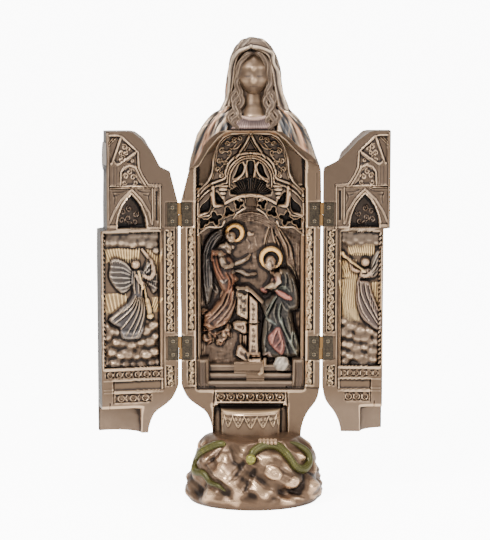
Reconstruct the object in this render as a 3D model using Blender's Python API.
# Triptych statue: a veiled standing figure whose robe opens as two hinged doors.
#
# The model is in metres, +Z up, and the viewer looks along +Y. The origin is on the underside, below the
# middle of the two hinge axes. The front of the figure is cut off at the plane y = 0: behind it is the
# body with its niche, in front of it are the doors. Doors are modelled closed, where they fit the body,
# and are then turned about their hinge axes to the open pose.
import math

import bmesh
import bpy
import numpy as np
from mathutils import Matrix

MM = 0.001

# Overall sizes
HEIGHT = 290 * MM
HINGE_AXIS_X = 44.3 * MM
LEFT_DOOR_OPEN_DEG = 167
RIGHT_DOOR_OPEN_DEG = 178

# Gaps
PLANE_GAP = 0.15 * MM
TOP_GAP = 0.6 * MM
SEAM_GAP = 0.15 * MM
DRUM_CLEARANCE = 0.9 * MM
FIT_GAP = 0.3 * MM

# Doors
DOOR_BOTTOM_Z = 42.5 * MM
DOOR_STEP_Z = 171 * MM
UPPER_SEAM_X = 1.5 * MM
LOWER_SEAM_X = 5.5 * MM

# Niche
NICHE_HALF_WIDTH = 34.1 * MM
NICHE_FLOOR_Z = 69 * MM
NICHE_DEPTH = 16 * MM
NICHE_HEAD_DEPTH = 11 * MM
NICHE_SHOULDER_Z = 197 * MM
NICHE_LIP = 1.0 * MM

# Base
MOUND_TOP_Z = 40 * MM
MOUND_CENTRE_X = 1.8 * MM
MOUND_HALF_WIDTH = 41.6 * MM
MOUND_HALF_DEPTH = 36 * MM
DRUM_HALF_WIDTH = 18.5 * MM
DRUM_DEPTH = 13 * MM
DRUM_TOP_Z = 57.5 * MM

# Head
HEAD_X = 1.8 * MM
HEAD_Z = 267 * MM
HEAD_Y = -2.5 * MM
FACE_HALF_WIDTH = 8.6 * MM
FACE_HALF_HEIGHT = 12.5 * MM

# Hinges
HINGE_CENTRES_Z = {"lower": 95.9 * MM, "upper": 180.2 * MM}
LEAF_HEIGHT = 14.8 * MM
LEAF_REACH = 7.6 * MM
LEAF_THICKNESS = 0.7 * MM
LEAF_START = 1.3 * MM
BARREL_RADIUS = 0.95 * MM
PIN_RADIUS = 0.45 * MM
BORE_RADIUS = 0.6 * MM
KNUCKLE_GAP = 0.2 * MM
SCREW_SPACING = 8.5 * MM
SCREW_OFFSET = 4.4 * MM
SCREW_HEAD_RADIUS = 1.3 * MM
SCREW_SHANK_RADIUS = 0.5 * MM
SCREW_LENGTH = 4.5 * MM

# Figure outline: height, left side, right side, front depth and back depth, in millimetres
FIGURE_ROWS = np.array(
    [
        (30, 24.0, 31.0, 21.0, 23.0),
        (44, 24.0, 32.0, 21.5, 24.0),
        (50, 25.5, 33.5, 22.0, 25.5),
        (56, 28.5, 36.5, 22.5, 27.5),
        (60, 35.0, 40.0, 23.0, 28.5),
        (64, 39.8, 42.3, 23.0, 29.5),
        (72, 43.6, 43.8, 23.5, 30.0),
        (187, 43.8, 43.8, 23.5, 28.5),
        (208, 38.4, 43.8, 20.5, 27.0),
        (223, 34.6, 38.6, 18.0, 25.0),
        (234, 30.6, 34.3, 16.0, 23.0),
        (241, 25.0, 29.2, 14.0, 21.0),
        (246, 18.2, 23.4, 11.0, 19.0),
        (252, 15.5, 20.4, 7.5, 18.0),
        (263, 15.4, 19.2, 6.5, 18.0),
        (270, 14.2, 18.8, 7.0, 18.0),
        (278, 12.4, 16.3, 8.0, 16.5),
        (285, 9.3, 12.3, 7.5, 13.5),
        (288.5, 4.5, 8.0, 5.0, 9.0),
    ]
)

# Line of the bust over the doors: distance from the hinge axis and height, in millimetres
LEFT_SEAM = np.array([(0, 207), (6, 208), (12, 211), (18, 221), (24, 228.3), (29, 232.3), (32, 233)])
RIGHT_SEAM = np.array([(0, 210), (4, 211.5), (10.6, 215), (16.6, 220.6), (22.6, 227.2), (29.5, 232.3), (32, 233)])


# Materials


def linear(hex_colour):
    """sRGB hex digits as the linear values that a shader wants."""
    values = [int(hex_colour[i : i + 2], 16) / 255 for i in (1, 3, 5)]
    return [v / 12.92 if v <= 0.04045 else ((v + 0.055) / 1.055) ** 2.4 for v in values] + [1.0]


def make_material(name, hex_colour, roughness, metallic):
    material = bpy.data.materials.new(name)
    material.use_nodes = True
    shader = material.node_tree.nodes["Principled BSDF"]
    shader.inputs["Base Color"].default_value = linear(hex_colour)
    shader.inputs["Roughness"].default_value = roughness
    shader.inputs["Metallic"].default_value = metallic
    return material


# Mesh helpers


def new_object(name, points, faces):
    """A closed mesh object of triangles, because a Boolean wants flat faces, with its normals outwards."""
    mesh = bpy.data.meshes.new(name)
    mesh.from_pydata([tuple(p) for p in points], [], faces)
    bm = bmesh.new()
    bm.from_mesh(mesh)
    bmesh.ops.triangulate(bm, faces=bm.faces[:])
    bmesh.ops.recalc_face_normals(bm, faces=bm.faces)
    bm.to_mesh(mesh)
    bm.free()
    obj = bpy.data.objects.new(name, mesh)
    bpy.context.scene.collection.objects.link(obj)
    return obj


def loft(name, rings):
    """A closed skin over rings of equal length, with a fan at each end."""
    rings = np.asarray(rings, dtype=float)
    count, sides, _ = rings.shape
    points = list(rings.reshape(-1, 3)) + [rings[0].mean(axis=0), rings[-1].mean(axis=0)]
    faces = []
    for i in range(count - 1):
        for j in range(sides):
            k = (j + 1) % sides
            faces.append((i * sides + j, i * sides + k, (i + 1) * sides + k, (i + 1) * sides + j))
    first, last = count * sides, count * sides + 1
    for j in range(sides):
        k = (j + 1) % sides
        faces.append((first, k, j))
        faces.append((last, (count - 1) * sides + j, (count - 1) * sides + k))
    return new_object(name, points, faces)


def prism(name, outline, front, back):
    """An outline in the XZ plane, extruded from y = front to y = back."""
    count = len(outline)
    points = [(x, front, z) for x, z in outline] + [(x, back, z) for x, z in outline]
    faces = [tuple(range(count)), tuple(range(2 * count - 1, count - 1, -1))]
    for i in range(count):
        j = (i + 1) % count
        faces.append((i, j, count + j, count + i))
    return new_object(name, points, faces)


def box(name, x_range, y_range, z_range):
    (x0, x1), (z0, z1) = x_range, z_range
    return prism(name, [(x0, z0), (x1, z0), (x1, z1), (x0, z1)], *y_range)


def rib(name, path, width, front, back, closed=False):
    """A moulding along a path in the XZ plane, wide at its foot and narrow at its front."""
    path = np.asarray(path, dtype=float)
    before = np.roll(path, 1, axis=0)
    after = np.roll(path, -1, axis=0)
    if not closed:
        before[0] = path[0] - (path[1] - path[0])
        after[-1] = path[-1] + (path[-1] - path[-2])
    first = (path - before) / np.linalg.norm(path - before, axis=1)[:, None]
    second = (after - path) / np.linalg.norm(after - path, axis=1)[:, None]
    tangent = first + second
    tangent /= np.linalg.norm(tangent, axis=1)[:, None]
    reach = 1 / np.maximum((tangent * first).sum(axis=1), 0.5)
    normal = np.stack([-tangent[:, 1], tangent[:, 0]], axis=1) * reach[:, None]
    rings = []
    for point, side in zip(path, normal):
        foot, top = side * width / 2, side * width / 4
        rings.append(
            [
                (point[0] - foot[0], back, point[1] - foot[1]),
                (point[0] + foot[0], back, point[1] + foot[1]),
                (point[0] + top[0], front, point[1] + top[1]),
                (point[0] - top[0], front, point[1] - top[1]),
            ]
        )
    if not closed:
        return loft(name, rings)
    count = len(rings)
    points = [p for ring in rings for p in ring]
    faces = []
    for i in range(count):
        k = (i + 1) % count
        for j in range(4):
            m = (j + 1) % 4
            faces.append((i * 4 + j, i * 4 + m, k * 4 + m, k * 4 + j))
    return new_object(name, points, faces)


def limb(name, points, radii, sides=6, flatten=1.0):
    """A tube along points, with a radius at each, flattened along Y by a share."""
    points = np.asarray(points, dtype=float)
    tangents = np.gradient(points, axis=0)
    tangents /= np.linalg.norm(tangents, axis=1)[:, None]
    angles = np.arange(sides) * 2 * math.pi / sides
    rings = []
    for point, tangent, radius in zip(points, tangents, radii):
        depth_axis = np.array([0.0, 1.0, 0.0]) - tangent * tangent[1]
        depth_axis /= np.linalg.norm(depth_axis)
        width_axis = np.cross(tangent, depth_axis)
        ring = point + radius * (
            np.outer(np.cos(angles), width_axis) + flatten * np.outer(np.sin(angles), depth_axis)
        )
        rings.append(ring)
    return loft(name, rings)


def blob(name, centre, radii, sides=7, levels=4):
    """An ellipsoid from rings about Z."""
    angles = np.arange(sides) * 2 * math.pi / sides
    rings = []
    for level in range(1, levels + 1):
        polar = math.pi * level / (levels + 1)
        ring = np.stack(
            [
                centre[0] + radii[0] * math.sin(polar) * np.cos(angles),
                centre[1] + radii[1] * math.sin(polar) * np.sin(angles),
                np.full(sides, centre[2] - radii[2] * math.cos(polar)),
            ],
            axis=1,
        )
        rings.append(ring)
    obj = loft(name, rings)
    poles = obj.data.vertices[-2:]
    poles[0].co.z = centre[2] - radii[2]
    poles[1].co.z = centre[2] + radii[2]
    return obj


def arc(centre, radius, start_deg, end_deg, count):
    """Points along an arc in the XZ plane, angles from +X towards +Z."""
    angles = np.radians(np.linspace(start_deg, end_deg, count))
    return [(centre[0] + radius * math.cos(a), centre[1] + radius * math.sin(a)) for a in angles]


def tidy_faces(mesh):
    """Merge the thin triangles that a Boolean leaves on flat faces, and split what is left anew."""
    bm = bmesh.new()
    bm.from_mesh(mesh)
    bmesh.ops.remove_doubles(bm, verts=bm.verts, dist=0.002 * MM)
    bmesh.ops.dissolve_degenerate(bm, edges=bm.edges, dist=0.002 * MM)
    bmesh.ops.dissolve_limit(bm, angle_limit=math.radians(0.2), verts=bm.verts, edges=bm.edges)
    bmesh.ops.triangulate(bm, faces=bm.faces[:])
    bm.to_mesh(mesh)
    bm.free()


def combine(target, tools, operation):
    """Apply one exact Boolean of all the tools to the target, and remove the tools."""
    group = bpy.data.collections.new("tools")
    bpy.context.scene.collection.children.link(group)
    for tool in tools:
        group.objects.link(tool)
        bpy.context.scene.collection.objects.unlink(tool)
    modifier = target.modifiers.new("combine", "BOOLEAN")
    modifier.operand_type = "COLLECTION"
    modifier.collection = group
    modifier.operation = operation
    modifier.solver = "EXACT"
    modifier.use_self = operation == "UNION"
    graph = bpy.context.evaluated_depsgraph_get()
    mesh = bpy.data.meshes.new_from_object(target.evaluated_get(graph))
    target.modifiers.clear()
    target.data = mesh
    tidy_faces(mesh)
    for tool in tools:
        bpy.data.objects.remove(tool)
    bpy.data.collections.remove(group)
    return target


def copy_of(source, name):
    obj = bpy.data.objects.new(name, source.data.copy())
    bpy.context.scene.collection.objects.link(obj)
    return obj


def finish(obj, material, angle_deg=35):
    obj.data.materials.clear()
    obj.data.materials.append(material)
    obj.data.shade_smooth()
    obj.data.set_sharp_from_angle(angle=math.radians(angle_deg))


# Figure: the whole closed statue, from which the body and the doors are cut


def row_values(height, column):
    """A size of the figure at a height, smoothed a little along Z."""
    reach = np.array([-2.0, -1.0, 0.0, 1.0, 2.0])
    heights = np.clip(height / MM + reach, FIGURE_ROWS[0, 0], FIGURE_ROWS[-1, 0])
    return np.interp(heights, FIGURE_ROWS[:, 0], FIGURE_ROWS[:, column]).mean() * MM


def figure_ring(height, sides):
    """One level of the figure: a squared oval for each quarter, with drapery folds that fade at the hinges."""
    angles = np.arange(sides) * 2 * math.pi / sides
    squareness = np.interp(height / MM, [236, 252], [0.84, 1.0])
    across, along = (np.sign(v) * np.abs(np.round(v, 6)) ** squareness for v in (np.cos(angles), np.sin(angles)))
    width = np.where(across < 0, row_values(height, 1), row_values(height, 2))
    depth = np.where(along < 0, row_values(height, 3), row_values(height, 4))
    share = height / HEIGHT
    lean = 2.2 * math.sin(5.0 * share)
    folds = 0.045 * np.cos(10 * angles + lean) + 0.025 * np.cos(7 * angles - 2 * lean)
    fade = np.clip(1.6 * np.abs(along), 0, 1) * np.interp(share, [0.1, 0.3, 0.78, 0.86], [0.5, 1, 1, 0])
    scale = 1 + folds * fade
    return np.stack([width * across * scale, depth * along * scale, np.full(sides, height)], axis=1)


def build_figure():
    low = np.array([31, 44, 51, 56, 60, 64, 73])
    middle = np.linspace(87, 200, 8)
    high = np.array([209, 218, 226, 234, 240, 245, 251, 260, 269, 277, 283, 287.5])
    heights = np.concatenate([low, middle, high]) * MM
    figure = loft("figure", [figure_ring(height, 32) for height in heights])
    figure.data.vertices[-1].co.z = HEIGHT
    return combine(figure, praying_arms(), "UNION")


def praying_arms():
    """Both sleeves and joined hands in front of the robe. The doors' upper seam parts them."""
    arms = []
    for side in (-1, 1):
        middle = UPPER_SEAM_X
        sleeve = [(34, -9, 196), (29, -17, 183), (17, -21, 188), (8, -22.5, 201)]
        hand = [(9, -22.5, 199), (4.5, -23.8, 208), (1.6, -22.5, 218), (0.9, -20.5, 224)]
        for name, path, radii in (("sleeve", sleeve, (5, 7.5, 6.5, 4.2)), ("hand", hand, (2.6, 3.2, 2.6, 1.2))):
            points = [(middle + side * x * MM, y * MM, z * MM) for x, y, z in path]
            arms.append(limb(name, points, np.array(radii) * MM, 7))
    return arms


def mound_point(angles, share):
    """The rock base as a function: an oval whose sides bulge, with lumps set by two waves."""
    size = np.interp(share, [0, 0.08, 0.3, 0.5, 0.68, 0.84, 1], [0.97, 1, 0.99, 0.95, 0.88, 0.81, 0.70])
    lumps = 0.03 * np.cos(5 * angles + 9 * share) + 0.025 * np.cos(8 * angles - 6 * share)
    scale = size * (1 + lumps * np.minimum(1, 4 * share))
    x = MOUND_CENTRE_X + MOUND_HALF_WIDTH * np.cos(angles) * scale
    y = MOUND_HALF_DEPTH * np.sin(angles) * scale
    return np.stack([x, y, share * MOUND_TOP_Z + 0 * angles], axis=-1)


def build_mound():
    angles = np.arange(30) * 2 * math.pi / 30
    return loft("mound", [mound_point(angles, share) for share in (0.0, 0.08, 0.3, 0.5, 0.68, 0.84, 1.0)])


# Cutters that part the doors from the body


def seam_height(side, distance):
    """Height of the bust's lower edge at a distance from the left (-1) or right (1) hinge axis."""
    profile = LEFT_SEAM if side < 0 else RIGHT_SEAM
    return np.interp(distance / MM, profile[:, 0], profile[:, 1]) * MM


def front_cutter():
    """Everything in front of the cut plane that isn't bust: its top is turned about each hinge axis, so that
    a door's top edge swings out below the bust."""
    left = [-HINGE_AXIS_X + d * MM for d in LEFT_SEAM[:, 0]]
    right = [HINGE_AXIS_X - d * MM for d in RIGHT_SEAM[::-1, 0]]
    across = np.array([-60 * MM] + left + [0.0] + right + [60 * MM])
    along = np.array([PLANE_GAP, -4 * MM, -8 * MM, -12 * MM, -16 * MM, -22 * MM, -60 * MM])
    columns, rows = len(across), len(along)
    points, faces = [], []
    for y in along:
        for x in across:
            side = -1 if x < 0 else 1
            inside = max(0.0, HINGE_AXIS_X - abs(x))
            points.append((x, y, float(seam_height(side, math.hypot(inside, y - PLANE_GAP)))))
    points += [(x, y, DOOR_BOTTOM_Z - 1.5 * MM) for y in along for x in across]
    low = columns * rows
    for i in range(rows - 1):
        for j in range(columns - 1):
            quad = (i * columns + j, i * columns + j + 1, (i + 1) * columns + j + 1, (i + 1) * columns + j)
            faces.append(quad)
            faces.append(tuple(low + k for k in quad[::-1]))
    rim = [j for j in range(columns)] + [i * columns + columns - 1 for i in range(1, rows)]
    rim += [(rows - 1) * columns + j for j in range(columns - 2, -1, -1)] + [i * columns for i in range(rows - 2, 0, -1)]
    for a, b in zip(rim, rim[1:] + rim[:1]):
        faces.append((a, low + a, low + b, b))
    return new_object("front", points, faces)


def door_region(side):
    """The block in front of the cut plane that becomes one door when it meets the figure."""
    upper = UPPER_SEAM_X + side * SEAM_GAP
    lower = LOWER_SEAM_X + side * SEAM_GAP
    step = DOOR_STEP_Z + (SEAM_GAP if side > 0 else -SEAM_GAP)
    outer = side * 60 * MM
    outline = [(outer, DOOR_BOTTOM_Z), (lower, DOOR_BOTTOM_Z), (lower, step), (upper, step)]
    profile = LEFT_SEAM if side < 0 else RIGHT_SEAM
    outline.append((upper, seam_height(side, 44 * MM) - TOP_GAP))
    for distance, height in profile[::-1]:
        outline.append((side * (HINGE_AXIS_X - distance * MM), height * MM - TOP_GAP))
    outline.append((outer, outline[-1][1]))
    return prism("door_region", outline, -60 * MM, -PLANE_GAP)


def drum_solid(name, grow, bottom, top):
    """The dress front as half an oval drum, grown by a clearance."""
    angles = np.arange(20) * 2 * math.pi / 20
    rings = []
    for height in (bottom, top):
        x = (DRUM_HALF_WIDTH + grow) * np.cos(angles)
        y = (DRUM_DEPTH + grow) * np.sin(angles)
        rings.append(np.stack([x, y, np.full(20, height)], axis=1))
    return loft(name, rings)


# Hinges


def hinge_rooms(side, front):
    """Cutters for the barrel, the leaf and the screws of both hinges: front is 1 in the body, -1 in a door."""
    rooms = []
    for centre in HINGE_CENTRES_Z.values():
        half = LEAF_HEIGHT / 2 + FIT_GAP
        inner = side * (HINGE_AXIS_X - LEAF_REACH - FIT_GAP)
        outer = side * (HINGE_AXIS_X + 3 * MM)
        deep = front * (PLANE_GAP + LEAF_THICKNESS + 2 * FIT_GAP)
        rooms.append(box("leaf_room", sorted((inner, outer)), (-front * 2 * MM, deep), (centre - half, centre + half)))
        turned = np.arange(8) * 2 * math.pi / 8
        ring = np.stack(
            [
                side * HINGE_AXIS_X + (BARREL_RADIUS + 2 * FIT_GAP) * np.cos(turned),
                (BARREL_RADIUS + 2 * FIT_GAP) * np.sin(turned),
                np.zeros(8),
            ],
            axis=1,
        )
        low, high = ring.copy(), ring.copy()
        low[:, 2], high[:, 2] = centre - half - FIT_GAP, centre + half + FIT_GAP
        rooms.append(loft("barrel_room", [low, high]))
        for offset in (-0.5, 0.5):
            place = (side * (HINGE_AXIS_X - SCREW_OFFSET), centre + offset * SCREW_SPACING)
            rooms.append(cone_y("screw_room", place, front, 0.0, SCREW_LENGTH + 2 * FIT_GAP, SCREW_SHANK_RADIUS + FIT_GAP))
    return rooms


def cone_y(name, place, front, start, end, radius, end_radius=None, sides=6):
    """A round or tapered peg along Y at (x, z), from y = start to y = end away from the cut plane."""
    angles = (np.arange(sides) + 0.5) * 2 * math.pi / sides
    rings = []
    for y, r in ((start, radius), (end, radius if end_radius is None else end_radius)):
        ring = np.stack([place[0] + r * np.cos(angles), np.full(sides, front * y), place[1] + r * np.sin(angles)], axis=1)
        rings.append(ring)
    return loft(name, rings)


def build_leaf(name, side, front, centre):
    """One hinge leaf: a plate with two countersunk holes and its half of the barrel."""
    half = LEAF_HEIGHT / 2
    face = PLANE_GAP
    y_range = (front * face, front * (face + LEAF_THICKNESS))
    x_inner = side * (HINGE_AXIS_X - LEAF_REACH)
    x_outer = side * (HINGE_AXIS_X - LEAF_START)
    plate = box(name, sorted((x_inner, x_outer)), y_range, (centre - half, centre + half))
    if front > 0:
        z_range = (centre - half, centre - KNUCKLE_GAP / 2)
    else:
        z_range = (centre + KNUCKLE_GAP / 2, centre + half)
    turned = (np.arange(8) + 0.5) * 2 * math.pi / 8
    rings = []
    for z in z_range:
        x = side * HINGE_AXIS_X + BARREL_RADIUS * np.cos(turned)
        rings.append(np.stack([x, BARREL_RADIUS * np.sin(turned), np.full(8, z)], axis=1))
    tab_end = side * (HINGE_AXIS_X - BORE_RADIUS - 0.1 * MM)
    tab_y = (front * (face + 0.02 * MM), front * (face + LEAF_THICKNESS - 0.03 * MM))
    tab_z = (z_range[0] + 0.05 * MM, z_range[1] - 0.05 * MM)
    tab = box("tab", sorted((x_outer - side * 0.5 * MM, tab_end)), tab_y, tab_z)
    combine(plate, [loft("knuckle", rings), tab], "UNION")
    cuts = []
    rings = []
    for z in (centre - LEAF_HEIGHT, centre + LEAF_HEIGHT):
        x = side * HINGE_AXIS_X + BORE_RADIUS * np.cos(turned)
        rings.append(np.stack([x, BORE_RADIUS * np.sin(turned), np.full(8, z)], axis=1))
    cuts.append(loft("bore", rings))
    for offset in (-0.5, 0.5):
        place = (side * (HINGE_AXIS_X - SCREW_OFFSET), centre + offset * SCREW_SPACING)
        wide = SCREW_HEAD_RADIUS + 0.35 * MM
        narrow = SCREW_SHANK_RADIUS + 0.3 * MM
        cuts.append(cone_y("sink", place, front, face - 0.15 * MM, face + LEAF_THICKNESS + 0.1 * MM, wide, narrow))
    return combine(plate, cuts, "DIFFERENCE")


def build_screw(name, side, front, centre, offset):
    """A countersunk screw: a cone head flush with the leaf and a plain shank."""
    place = (side * (HINGE_AXIS_X - SCREW_OFFSET), centre + offset * SCREW_SPACING)
    face = PLANE_GAP + 0.05 * MM
    sides = 6
    angles = (np.arange(sides) + 0.5) * 2 * math.pi / sides
    rings = []
    for y, r in (
        (face, SCREW_HEAD_RADIUS),
        (face + LEAF_THICKNESS, SCREW_SHANK_RADIUS),
        (face + SCREW_LENGTH, SCREW_SHANK_RADIUS),
    ):
        rings.append(np.stack([place[0] + r * np.cos(angles), np.full(sides, front * y), place[1] + r * np.sin(angles)], axis=1))
    return loft(name, rings)


def build_pin(name, side, centre):
    half = LEAF_HEIGHT / 2
    turned = (np.arange(8) + 0.5) * 2 * math.pi / 8
    rings = []
    for z in (centre - half + 0.1 * MM, centre + half - 0.1 * MM):
        x = side * HINGE_AXIS_X + PIN_RADIUS * np.cos(turned)
        rings.append(np.stack([x, PIN_RADIUS * np.sin(turned), np.full(8, z)], axis=1))
    return loft(name, rings)


# Relief figures, in millimetres, shared by the niche and the doors


def robe(name, rows, wall, sides=10, waves=4):
    """A standing robe from rows of height, middle, half width and depth, its back sunk in the wall."""
    angles = np.arange(sides) * 2 * math.pi / sides
    rings = []
    for height, middle, half, depth in rows:
        folds = 1 + 0.10 * np.cos(waves * angles + height * 0.12)
        x = middle + half * np.cos(angles) * folds
        y = wall - np.where(np.sin(angles) < 0, depth, 2.0) * -np.sin(angles) * np.where(np.sin(angles) < 0, folds, 1)
        rings.append(np.stack([x, y, np.full(sides, height)], axis=1) * MM)
    return loft(name, rings)


def niche_pieces():
    """What is carved inside the niche: canopy, steps, lectern and the two figures."""
    wall = NICHE_DEPTH / MM
    pieces = []

    def at(points, y):
        return [(x * MM, y * MM, z * MM) for x, z in points]

    steps = [(67.5, 74.5, 2.5, 34.5), (68, 79, 6.0, 34.7), (68.5, 84, 9.0, 34.9)]
    for low, high, front, reach in steps:
        back = wall + reach - 33
        pieces.append(box("step", (-reach * MM, reach * MM), (front * MM, back * MM), (low * MM, high * MM)))
    for side in (-1, 1):
        x_range = sorted((side * 26.4 * MM, side * 34.6 * MM))
        pieces.append(box("post", x_range, (1.6 * MM, (wall + 0.7) * MM), (68 * MM, 88.5 * MM)))
        x_range = sorted((side * 31.6 * MM, side * 34.9 * MM))
        pieces.append(box("jamb", x_range, (3.2 * MM, (wall + 0.6) * MM), (87 * MM, 196 * MM)))
    lectern = [(-8.2, 82), (5.2, 82), (5.2, 87), (4.2, 89), (4.2, 122), (6.6, 122.5), (6.2, 125), (-3.2, 133.5)]
    lectern += [(-8.0, 131)]
    pieces.append(prism("lectern", [(x * MM, z * MM) for x, z in lectern], 4.6 * MM, (wall + 0.8) * MM))
    pieces.append(box("lectern_foot", (-10.5 * MM, 7.5 * MM), (3.6 * MM, (wall + 0.9) * MM), (77 * MM, 86.5 * MM)))

    gabriel = [(97, -21, 8.6, 7), (107, -21, 9.2, 9), (114, -20.2, 8.6, 10), (124, -18.2, 7.6, 10)]
    gabriel += [(134, -14.4, 6.2, 9.5), (145, -17, 6.8, 10), (152, -19, 6.4, 9), (158, -17.4, 3.6, 7)]
    pieces.append(robe("gabriel_robe", gabriel, wall + 1))
    pieces.append(blob("gabriel_head", (-12.8 * MM, 8.6 * MM, 165 * MM), (3.3 * MM, 3.3 * MM, 4.2 * MM)))
    pieces.append(limb("gabriel_neck", at([(-16.5, 155), (-13.5, 163)], 9), [2.6 * MM, 2.2 * MM]))
    pieces.append(cone_y("gabriel_halo", (-10.8 * MM, 168 * MM), 1, 10.6 * MM, 12.4 * MM, 6.9 * MM, 6.4 * MM, 12))
    pieces.append(limb("gabriel_arm", at([(-19, 153), (-14.5, 147.5), (-6, 150), (-1.2, 153.4)], 6.5), np.array([2.6, 2.3, 1.7, 1.2]) * MM))
    pieces.append(limb("gabriel_hand", at([(-12, 146), (-6, 141), (-1.5, 138.5)], 8.5), np.array([2.2, 1.8, 1.2]) * MM))
    pieces.append(limb("gabriel_wing", at([(-18, 158), (-25, 165), (-29, 152), (-29.5, 134), (-28.5, 117)], 12.5), np.array([2.5, 3.8, 4.4, 3.4, 1.2]) * MM, 6, 0.6))
    for x, z, size in ((-28, 104, 4), (-24, 97, 4.4), (-17, 98, 4.6), (-12.5, 104, 3.6), (-27.5, 95, 3.2)):
        pieces.append(blob("cloud", (x * MM, (wall - 2.5) * MM, z * MM), (size * MM, 5.2 * MM, size * 0.8 * MM), 6, 2))

    mary = [(84, 19, 12.2, 10), (92, 18.8, 12, 11.5), (100, 18, 11.2, 12), (110, 17, 10.3, 11.5)]
    mary += [(119, 17.4, 11, 11.5), (128, 18.2, 10.8, 11.5), (137, 18.9, 8.9, 10.5), (144, 18.6, 5.8, 8.5), (148, 16.6, 3.2, 7)]
    pieces.append(robe("mary_robe", mary, wall + 1))
    pieces.append(blob("mary_head", (12.2 * MM, 7.6 * MM, 150.8 * MM), (3.7 * MM, 3.7 * MM, 4.6 * MM)))
    pieces.append(limb("mary_neck", at([(16.5, 143), (13, 149)], 8.4), [2.6 * MM, 2.6 * MM]))
    pieces.append(cone_y("mary_halo", (12.8 * MM, 152.6 * MM), 1, 10.2 * MM, 12 * MM, 7.6 * MM, 7 * MM, 12))
    pieces.append(limb("mary_arm", at([(25, 138), (24, 127), (16, 130), (12.6, 136.5)], 5.4), np.array([2.8, 3.0, 2.2, 1.3]) * MM))
    pieces.append(limb("mary_sleeve", at([(13, 139), (8.6, 131), (6.6, 128.5)], 6.4), np.array([2.4, 2.6, 1.6]) * MM))
    pieces.append(limb("mary_knee", at([(12.5, 112), (11.5, 101), (14.5, 91)], 5.2), np.array([2.6, 4.2, 3.0]) * MM))
    pieces.append(blob("basket", (20 * MM, 5.4 * MM, 82.5 * MM), (5 * MM, 3.4 * MM, 5 * MM)))
    return pieces


def canopy_outline(shrink=0.0):
    """Outline of the canopy: wide shoulders, concave flanks and a round head."""
    half = [(33.6, 174), (33.6, 194.5), (29, 199), (25.8, 205), (24.2, 214), (21.2, 223), (17.2, 228.2), (11.8, 230.6)]
    right = [((x - shrink) * MM, z * MM) for x, z in half]
    return right + [(-x, z) for x, z in right[::-1]]


def build_canopy():
    """A screen of tracery: a solid head over a round arch, with a lacy band below it."""
    wall = NICHE_DEPTH / MM
    canopy = prism("canopy", canopy_outline(), 3.4 * MM, (NICHE_HEAD_DEPTH + 1 * MM))
    hollow = [(-35, 160), (35, 160), (35, 186), (17.5, 193), (16.2, 203)]
    hollow += [(x / MM, z / MM) for x, z in arc((0, 202.5 * MM), 12.6 * MM, 0, 180, 7)]
    hollow += [(-16.2, 203), (-17.5, 193), (-35, 186)]
    cuts = [prism("hollow", [(x * MM, z * MM) for x, z in hollow], 6.2 * MM, (wall + 3) * MM)]
    opening = [(-14.5, 192.5), (-7.5, 195.2), (0, 196), (7.5, 195.2), (14.5, 192.5), (14, 199)]
    opening += [(x / MM, z / MM) for x, z in arc((0, 202.5 * MM), 11.4 * MM, 0, 180, 7)]
    opening += [(-14, 199)]
    cuts.append(prism("opening", [(x * MM, z * MM) for x, z in opening], 0, 9 * MM))
    below = [(-30, 168), (-27, 171.6), (-20.5, 172.4), (-15.5, 176.5), (-8.5, 178.6), (-5.4, 184), (-1.2, 183.8), (0, 188.6)]
    below += [(1.2, 183.8), (5.4, 184), (8.5, 178.6), (15.5, 176.5), (20.5, 172.4), (27, 171.6), (30, 168)]
    cuts.append(prism("below", [(x * MM, z * MM) for x, z in below], 0, 9 * MM))
    for side in (-1, 1):
        for x, z, size in ((8.2, 186.4, 2.5), (14.0, 181.8, 2.6), (21.2, 178.3, 2.7), (30.2, 177.8, 2.2), (29.2, 186.6, 3.2)):
            cuts.append(cone_y("piercing", (side * x * MM, z * MM), 1, 0, 9 * MM, size * MM, size * MM, 6))
    combine(canopy, cuts, "DIFFERENCE")
    ribs = []
    front, back = 1.8 * MM, 4.2 * MM
    outer = [(x * MM, z * MM) for x, z in ((33, 175), (33, 194.2), (28.4, 198.4), (25.2, 204.6), (23.6, 213.8), (20.6, 222.6), (16.6, 227.6), (11.4, 229.9))]
    ribs.append(rib("outer_rib", outer + [(-x, z) for x, z in outer[::-1]], 1.5 * MM, front, back))
    hood = [(29.8, 190.6), (24, 195.4), (15.4, 199.4)]
    hood = [(x * MM, z * MM) for x, z in hood]
    ring = arc((0, 202.5 * MM), 14 * MM, 0, 180, 9)
    ribs.append(rib("hood_rib", hood + ring + [(-x, z) for x, z in hood[::-1]], 2.0 * MM, 1.2 * MM, back))
    ribs.append(rib("gable", [(-11 * MM, 212 * MM), (0, 229.2 * MM), (11 * MM, 212 * MM)], 1.3 * MM, 1.5 * MM, back))
    lace = [(-26, 190.4), (-23.4, 185.6), (-16, 188), (-8, 191), (0, 192.2), (8, 191), (16, 188), (23.4, 185.6), (26, 190.4)]
    ribs.append(rib("lace_rib", [(x * MM, z * MM) for x, z in lace], 1.6 * MM, 1.6 * MM, back))
    for side in (-1, 1):
        place = side * 17.3 * MM
        for z, size in ((195.4, 3.2), (191.4, 1.8)):
            ribs.append(blob("pendant", (place, 4.2 * MM, z * MM), (size * MM, size * 0.8 * MM, 2.6 * MM), 6, 2))
    return combine(canopy, ribs, "UNION")


# Body


def build_snake(name, path, radii):
    """A snake that lies on the rock: its path gives angles about the base and heights."""
    points = []
    for angle, height in path:
        turn = np.array(math.radians(angle))
        points.append(mound_point(turn, min(height * MM / MOUND_TOP_Z, 1.0)) + np.array([0, 0, max(0, height * MM - MOUND_TOP_Z)]))
    return limb(name, points, [r * MM for r in radii], 6)


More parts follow.
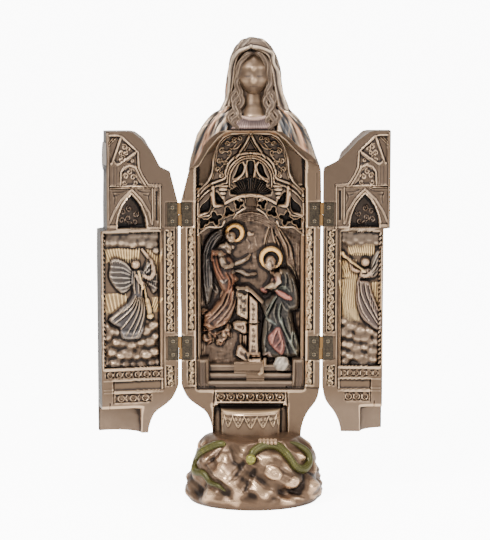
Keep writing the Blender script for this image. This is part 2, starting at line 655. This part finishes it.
def build_body(figure):
    body = copy_of(figure, "statue_body")
    combine(body, [build_mound()], "UNION")
    combine(body, [front_cutter()], "DIFFERENCE")
    floor = NICHE_FLOOR_Z
    inset = NICHE_HALF_WIDTH - 0.2 * MM
    outline = [(-inset, NICHE_SHOULDER_Z - 20 * MM), (inset, NICHE_SHOULDER_Z - 20 * MM)]
    reach = (HINGE_AXIS_X - NICHE_HALF_WIDTH) / MM
    for side, profile in ((1, RIGHT_SEAM), (-1, LEFT_SEAM)):
        edge = [(side * inset, seam_height(side, reach * MM) - NICHE_LIP)]
        for distance, height in profile:
            if distance > reach + 0.5:
                edge.append((side * (HINGE_AXIS_X - distance * MM), height * MM - NICHE_LIP))
        outline += edge if side > 0 else edge[::-1]
    head = prism("niche_head", outline, -2.3 * MM, NICHE_HEAD_DEPTH)
    low = box("niche", (-NICHE_HALF_WIDTH, NICHE_HALF_WIDTH), (-2 * MM, NICHE_DEPTH), (floor, NICHE_SHOULDER_Z))
    band = box("band", (-22 * MM, 22 * MM), (-2 * MM, 1.2 * MM), (61.5 * MM, 67 * MM))
    combine(body, [head], "DIFFERENCE")
    combine(body, [low, band] + hinge_rooms(-1, 1) + hinge_rooms(1, 1), "DIFFERENCE")

    added = niche_pieces()
    added.append(build_canopy())
    added.append(drum_solid("drum", 0, MOUND_TOP_Z - 4 * MM, DRUM_TOP_Z))
    tail = [(-126, 39), (-140, 37.5), (-158, 31), (-169, 25), (-158, 20), (-144, 20), (-133, 16), (-121, 15), (-114, 12)]
    added.append(build_snake("tail", tail, (2.2, 2.5, 2.6, 2.5, 2.3, 2.1, 1.8, 1.3, 0.6)))
    serpent = [(-93, 31), (-90, 36), (-80, 38.6), (-69, 38.8), (-59, 37.4), (-52, 32), (-46, 25.5)]
    serpent += [(-35, 22.5), (-22, 25), (-19, 31), (-28, 36.5), (-42, 39.5)]
    added.append(build_snake("serpent", serpent, (2.0, 2.5, 2.6, 2.8, 2.8, 2.8, 2.7, 2.6, 2.4, 2.2, 1.8, 0.9)))
    for index in range(5):
        added.append(blob("toe", ((6 + 2.3 * index) * MM, -22.5 * MM, 40.2 * MM), (1.3 * MM, 2.8 * MM, 1.5 * MM), 6, 2))
    face = blob("face", (HEAD_X, HEAD_Y, HEAD_Z), (FACE_HALF_WIDTH, 9.5 * MM, FACE_HALF_HEIGHT), 12, 6)
    added.append(face)
    nose_y = HEAD_Y - 9.3 * MM
    added.append(limb("nose", [(HEAD_X, nose_y + 0.6 * MM, HEAD_Z + 3 * MM), (HEAD_X, nose_y - 0.6 * MM, HEAD_Z - 1.6 * MM)], [0.5 * MM, 1.2 * MM], 6))
    added.append(limb("neck", [(HEAD_X, 0.5 * MM, 257 * MM), (HEAD_X, -1 * MM, 240 * MM)], [5.4 * MM, 7.5 * MM], 10))
    for side in (-1, 1):
        lock = [(3, -8, 279), (8, -6.8, 272), (9.6, -6, 263), (9, -7, 254), (10.6, -10.4, 246), (11.2, -13.6, 239), (10.6, -15.4, 234.6)]
        points = [(HEAD_X + side * x * MM, y * MM, z * MM) for x, y, z in lock]
        added.append(limb("lock", points, np.array([1.6, 2.5, 2.6, 2.4, 2.9, 2.7, 1.8]) * MM, 7))
    return combine(body, added, "UNION")


# Doors


def door_x(side, distance):
    """World X of a place on a closed door, from its distance to the hinge axis."""
    return side * (HINGE_AXIS_X - distance)


def door_pieces(side):
    """Cuts and reliefs on a door's inner face, placed from the hinge axis, in millimetres."""
    edge = (HINGE_AXIS_X - side * UPPER_SEAM_X) / MM
    low_edge = (HINGE_AXIS_X - side * LOWER_SEAM_X) / MM
    cuts, added = [], []

    def plane(points):
        return [(door_x(side, d * MM), z * MM) for d, z in points]

    def inward(w):
        return edge - w

    arch = edge - 15.0
    half = 8.8
    pointed = [(arch - half, 174.5), (arch - half, 181), (arch - 6.8, 187), (arch - 3.6, 192), (arch, 195.4)]
    pointed += [(2 * arch - d, z) for d, z in pointed[-2::-1]]
    cuts.append(prism("pointed_niche", plane(pointed), 0.0, -9.5 * MM))
    panel = [(inward(2.6), 198.4), (inward(2.6), 227.6), (inward(8.8), 227.6), (inward(19.2), 216.8), (inward(19.2), 209.5), (inward(21.2), 203.5), (inward(25), 198.4)]
    cuts.append(prism("upper_panel", plane(panel), 0.0, -1.6 * MM))
    cuts.append(prism("groove", plane([(inward(29), 176.5), (inward(31.6), 176.5), (inward(31.6), 195), (inward(29), 195)]), 0.0, -1.4 * MM))
    inner = 12.2
    outer = low_edge - 1.6
    picture = [(inner, 84.5), (outer, 84.5), (outer, 169.4), (inner, 169.4)]
    cuts.append(prism("picture", plane(picture), 0.0, -4.6 * MM))
    for low, high in ((106, 170), (69.5, 85)):
        cuts.append(prism("strip", plane([(3.4, low), (8.8, low), (8.8, high), (3.4, high)]), 0.0, -1.0 * MM))

    front, back = -0.5 * MM, -3.4 * MM
    added.append(rib("diagonal", plane([(inward(5.2), 199), (inward(4.6), 209), (inward(9.6), 226.6)]), 1.4 * MM, front, back))
    added.append(rib("crossing", plane([(inward(8), 209.5), (inward(13), 213), (inward(20), 217.6)]), 1.3 * MM, front, back))
    small = [(d / MM, z / MM) for d, z in arc((inward(13.8) * MM, 203.5 * MM), 5.2 * MM, 0, 180, 7)]
    small = [(small[0][0], 198)] + small + [(small[-1][0], 198)]
    added.append(rib("small_arch", plane(small), 1.2 * MM, front, back))
    wall = 4.0
    count = round((outer - inner) / 8.6)
    for row, (low, size) in enumerate(((89, 5.6), (97, 4.8))):
        for index in range(count):
            d = inner + 4 + (outer - inner - 8) * (index + 0.5 * (row % 2)) / (count - 0.5)
            added.append(blob("cloud", (door_x(side, d * MM), -(wall + 0.6) * MM, low * MM), (size * 0.95 * MM, 3.4 * MM, size * 0.85 * MM), 6, 2))
    for index in range(count):
        d = inner + 4.5 + (outer - inner - 9) * index / (count - 1)
        added.append(blob("cloud", (door_x(side, d * MM), -(wall + 1.2) * MM, (164 - 2 * (index % 2)) * MM), (4.4 * MM, 2.8 * MM, 3.6 * MM), 6, 2))

    body = [(106, 30, 8.5, 3), (114, 30.5, 7.5, 3.4), (124, 28.6, 5.4, 3.6), (134, 27.6, 4.4, 3.6), (142, 27.4, 3.8, 3.2), (146.5, 27.6, 2.0, 2.4)]
    rings = []
    sides = 10
    angles = np.arange(sides) * 2 * math.pi / sides
    for height, middle, size, depth in body:
        folds = 1 + 0.1 * np.cos(4 * angles + height * 0.15)
        x = door_x(side, middle * MM) + size * MM * np.cos(angles) * folds
        y = (-(wall + 0.6) + np.where(np.sin(angles) > 0, depth, 1.5) * np.sin(angles)) * MM
        rings.append(np.stack([x, y, np.full(sides, height * MM)], axis=1))
    added.append(loft("angel_robe", rings))

    def spot(points, depth):
        return [(door_x(side, d * MM), -depth * MM, z * MM) for d, z in points]

    added.append(blob("angel_head", spot([(27.6, 149.6)], 3.0)[0], (2.9 * MM, 2.4 * MM, 3.5 * MM), 8, 5))
    if side < 0:
        arm = [(26, 144), (22.6, 151), (24, 158.5)]
        horn = [(26.5, 147), (22.6, 131), (19.6, 117), (19, 114)]
    else:
        arm = [(26, 144), (21, 148.5), (18, 153)]
        horn = [(26, 146), (20, 150.6), (16, 154), (14.4, 155)]
    added.append(limb("angel_arm", spot(arm, 3.4), np.array([2.0, 1.6, 1.1]) * MM, 6))
    added.append(limb("trumpet", spot(horn, 2.6), np.array([0.7, 0.8, 1.3, 2.6]) * MM, 6, 0.6))
    wing_end = min(outer - 1.5, 43.5)
    wing = [(26.5, 139), (wing_end - 5, 147.5), (wing_end - 2.4, 141), (wing_end - 2, 132)]
    added.append(limb("wing", spot(wing, 4.5), np.array([2.0, 3.6, 3.4, 1.2]) * MM, 6, 0.5))
    return cuts, added


def build_door(name, side, figure):
    door = copy_of(figure, name)
    region = door_region(side)
    combine(door, [region], "INTERSECT")
    cuts, added = door_pieces(side)
    drum = drum_solid("drum_room", DRUM_CLEARANCE, DOOR_BOTTOM_Z - 5 * MM, DRUM_TOP_Z + DRUM_CLEARANCE)
    combine(door, cuts + [drum] + hinge_rooms(side, -1), "DIFFERENCE")
    combine(door, added, "UNION")
    return door


# Assembly


def door_pivot(name, side, angle_deg):
    pivot = bpy.data.objects.new(name, None)
    pivot.location = (side * HINGE_AXIS_X, 0, 0)
    pivot.rotation_euler = (0, 0, math.radians(angle_deg))
    bpy.context.scene.collection.objects.link(pivot)
    return pivot


def hang(obj, pivot, side):
    """Hang a piece that was modelled closed on a door's pivot."""
    obj.parent = pivot
    obj.matrix_parent_inverse = Matrix.Translation((-side * HINGE_AXIS_X, 0, 0))


def main():
    for obj in list(bpy.data.objects):
        bpy.data.objects.remove(obj)
    bronze = make_material("Cold-cast bronze resin", "#7a675a", 0.42, 0.55)
    dark_brass = make_material("Darkened brass", "#3d362e", 0.4, 0.8)
    brass = make_material("Brass", "#b59a4d", 0.3, 1.0)
    steel = make_material("Blackened steel screw", "#4a4038", 0.4, 0.9)

    figure = build_figure()
    finish(build_body(figure), bronze)
    pivots = {
        -1: door_pivot("left_door_axis", -1, -LEFT_DOOR_OPEN_DEG),
        1: door_pivot("right_door_axis", 1, RIGHT_DOOR_OPEN_DEG),
    }
    for side, word in ((-1, "left"), (1, "right")):
        door = build_door(f"{word}_door", side, figure)
        finish(door, bronze)
        hang(door, pivots[side], side)
        for level, centre in HINGE_CENTRES_Z.items():
            stem = f"{word}_{level}_hinge"
            body_leaf = build_leaf(f"{stem}_body_leaf", side, 1, centre)
            door_leaf = build_leaf(f"{stem}_door_leaf", side, -1, centre)
            finish(body_leaf, dark_brass)
            finish(door_leaf, dark_brass)
            hang(door_leaf, pivots[side], side)
            finish(build_pin(f"{stem}_pin", side, centre), brass)
            for index, (front, offset) in enumerate(((1, -0.5), (1, 0.5), (-1, -0.5), (-1, 0.5)), start=1):
                screw = build_screw(f"{stem}_screw_{index}", side, front, centre, offset)
                finish(screw, steel)
                if front < 0:
                    hang(screw, pivots[side], side)
    bpy.data.objects.remove(figure)


main()
